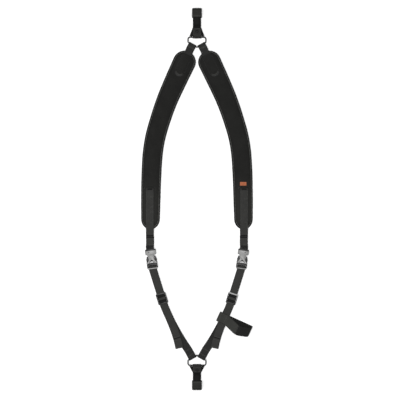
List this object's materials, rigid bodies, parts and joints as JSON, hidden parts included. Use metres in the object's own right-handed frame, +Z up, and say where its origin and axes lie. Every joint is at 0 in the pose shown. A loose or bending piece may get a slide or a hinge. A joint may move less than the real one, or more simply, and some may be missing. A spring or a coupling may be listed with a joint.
{
  "type": "padded instrument shoulder strap",
  "caption": "Twin-shoulder padded instrument strap: curved pads joined by wire rings, with snap hooks, side-release buckles, sliding adjusters and a keeper loop.",
  "frame": {"origin": "middle of the footprint, on the surface the strap lies on", "axes": "+Z up out of the surface, towards the pads' faces; +Y along the strap towards the upper hook, between the shoulder ends of the pads; +X to the side with the keeper loop"},
  "size_m": [0.2794, 0.9543, 0.0189],
  "materials": {
    "pad_fabric": "matt woven face cloth",
    "spacer_mesh": "open knitted mesh",
    "foam": "closed-cell foam",
    "binding_tape": "folded grosgrain tape",
    "webbing": "ribbed nylon webbing, slight sheen",
    "moulded_plastic": "satin injection-moulded acetal",
    "black_wire": "black coated steel wire",
    "steel": "plain steel",
    "label_weave": "woven patch with a sewn border"
  },
  "bodies": {
    "harness": {"left_pad_backing": "spacer_mesh", "left_pad_foam_core": "foam", "left_pad_face": "pad_fabric", "left_pad_binding": "binding_tape", "left_pad_anchor_cover": "pad_fabric", "left_upper_web": "webbing", "left_socket_web": "webbing", "left_buckle_socket": "moulded_plastic", "left_buckle_plug": "moulded_plastic", "left_adjuster_web": "webbing", "right_pad_backing": "spacer_mesh", "right_pad_foam_core": "foam", "right_pad_face": "pad_fabric", "right_pad_binding": "binding_tape", "right_pad_anchor_cover": "pad_fabric", "right_upper_web": "webbing", "right_socket_web": "webbing", "right_buckle_socket": "moulded_plastic", "right_buckle_plug": "moulded_plastic", "right_adjuster_web": "webbing", "upper_ring": "black_wire", "lower_ring": "black_wire", "pad_label": "label_weave"},
    "upper_hook": {"upper_hook_body": "moulded_plastic", "upper_hook_gate_pin": "steel", "upper_hook_gate_spring": "steel", "upper_hook_web": "webbing", "upper_hook_rivet": "steel"},
    "upper_gate": {"upper_hook_gate": "moulded_plastic"},
    "lower_hook": {"lower_hook_body": "moulded_plastic", "lower_hook_gate_pin": "steel", "lower_hook_gate_spring": "steel", "lower_hook_web": "webbing", "lower_hook_rivet": "steel"},
    "lower_gate": {"lower_hook_gate": "moulded_plastic"},
    "left_outer_arm": {"left_buckle_outer_arm": "moulded_plastic"},
    "left_inner_arm": {"left_buckle_inner_arm": "moulded_plastic"},
    "left_adjuster": {"left_tri_glide": "moulded_plastic"},
    "left_tail": {"left_tail_end": "webbing"},
    "right_outer_arm": {"right_buckle_outer_arm": "moulded_plastic"},
    "right_inner_arm": {"right_buckle_inner_arm": "moulded_plastic"},
    "right_adjuster": {"right_tri_glide": "moulded_plastic"},
    "right_tail": {"right_tail_end": "webbing"},
    "keeper": {"keeper_loop": "webbing"}
  },
  "joints": [
    {"name": "upper_hook_swing", "type": "hinge", "parent": "harness", "child": "upper_hook", "pos_m": [0, 0.4045, 0.004], "axis": [1, 0, 0], "range_deg": [0, 140]},
    {"name": "upper_hook_gate_hinge", "type": "hinge", "parent": "upper_hook", "child": "upper_gate", "pos_m": [0, 0.434, 0.0066], "axis": [-1, 0, 0], "range_deg": [0, 14], "stiffness_Nm_per_rad": 0.03, "springref_deg": -20.05, "deforming": ["upper_hook_gate_spring"]},
    {"name": "lower_hook_swing", "type": "hinge", "parent": "harness", "child": "lower_hook", "pos_m": [0, -0.4158, 0.004], "axis": [-1, 0, 0], "range_deg": [0, 140]},
    {"name": "lower_hook_gate_hinge", "type": "hinge", "parent": "lower_hook", "child": "lower_gate", "pos_m": [0, -0.4388, 0.0066], "axis": [1, 0, 0], "range_deg": [0, 14], "stiffness_Nm_per_rad": 0.03, "springref_deg": -20.05, "deforming": ["lower_hook_gate_spring"]},
    {"name": "left_outer_arm_flex", "type": "hinge", "parent": "harness", "child": "left_outer_arm", "pos_m": [-0.11994, -0.16553, 0.005], "axis": [0, 0, -1], "range_deg": [0, 10], "stiffness_Nm_per_rad": 0.25},
    {"name": "left_inner_arm_flex", "type": "hinge", "parent": "harness", "child": "left_inner_arm", "pos_m": [-0.1033, -0.16325, 0.005], "axis": [0, 0, 1], "range_deg": [0, 10], "stiffness_Nm_per_rad": 0.25},
    {"name": "left_adjuster_slide", "type": "slide", "parent": "harness", "child": "left_adjuster", "axis": [-0.2985, 0.9544, 0], "range_m": [0, 0.032]},
    {"name": "left_tail_lift", "type": "hinge", "parent": "harness", "child": "left_tail", "pos_m": [-0.061, -0.316, 0.005], "axis": [-0.9285, -0.3714, 0], "range_deg": [0, 35]},
    {"name": "right_outer_arm_flex", "type": "hinge", "parent": "harness", "child": "right_outer_arm", "pos_m": [0.11994, -0.16553, 0.005], "axis": [0, 0, 1], "range_deg": [0, 10], "stiffness_Nm_per_rad": 0.25},
    {"name": "right_inner_arm_flex", "type": "hinge", "parent": "harness", "child": "right_inner_arm", "pos_m": [0.1033, -0.16325, 0.005], "axis": [0, 0, -1], "range_deg": [0, 10], "stiffness_Nm_per_rad": 0.25},
    {"name": "right_adjuster_slide", "type": "slide", "parent": "harness", "child": "right_adjuster", "axis": [0.2985, 0.9544, 0], "range_m": [0, 0.032]},
    {"name": "right_tail_lift", "type": "hinge", "parent": "harness", "child": "right_tail", "pos_m": [0.061, -0.316, 0.005], "axis": [-0.9285, 0.3714, 0], "range_deg": [0, 35]},
    {"name": "keeper_slide", "type": "slide", "parent": "harness", "child": "keeper", "axis": [0.4147, 0.91, 0], "range_m": [0, 0.012]}
  ],
  "couplings": [
    {"joint": "left_inner_arm_flex", "follows": "left_outer_arm_flex", "ratio": 1},
    {"joint": "right_inner_arm_flex", "follows": "right_outer_arm_flex", "ratio": 1}
  ]
}
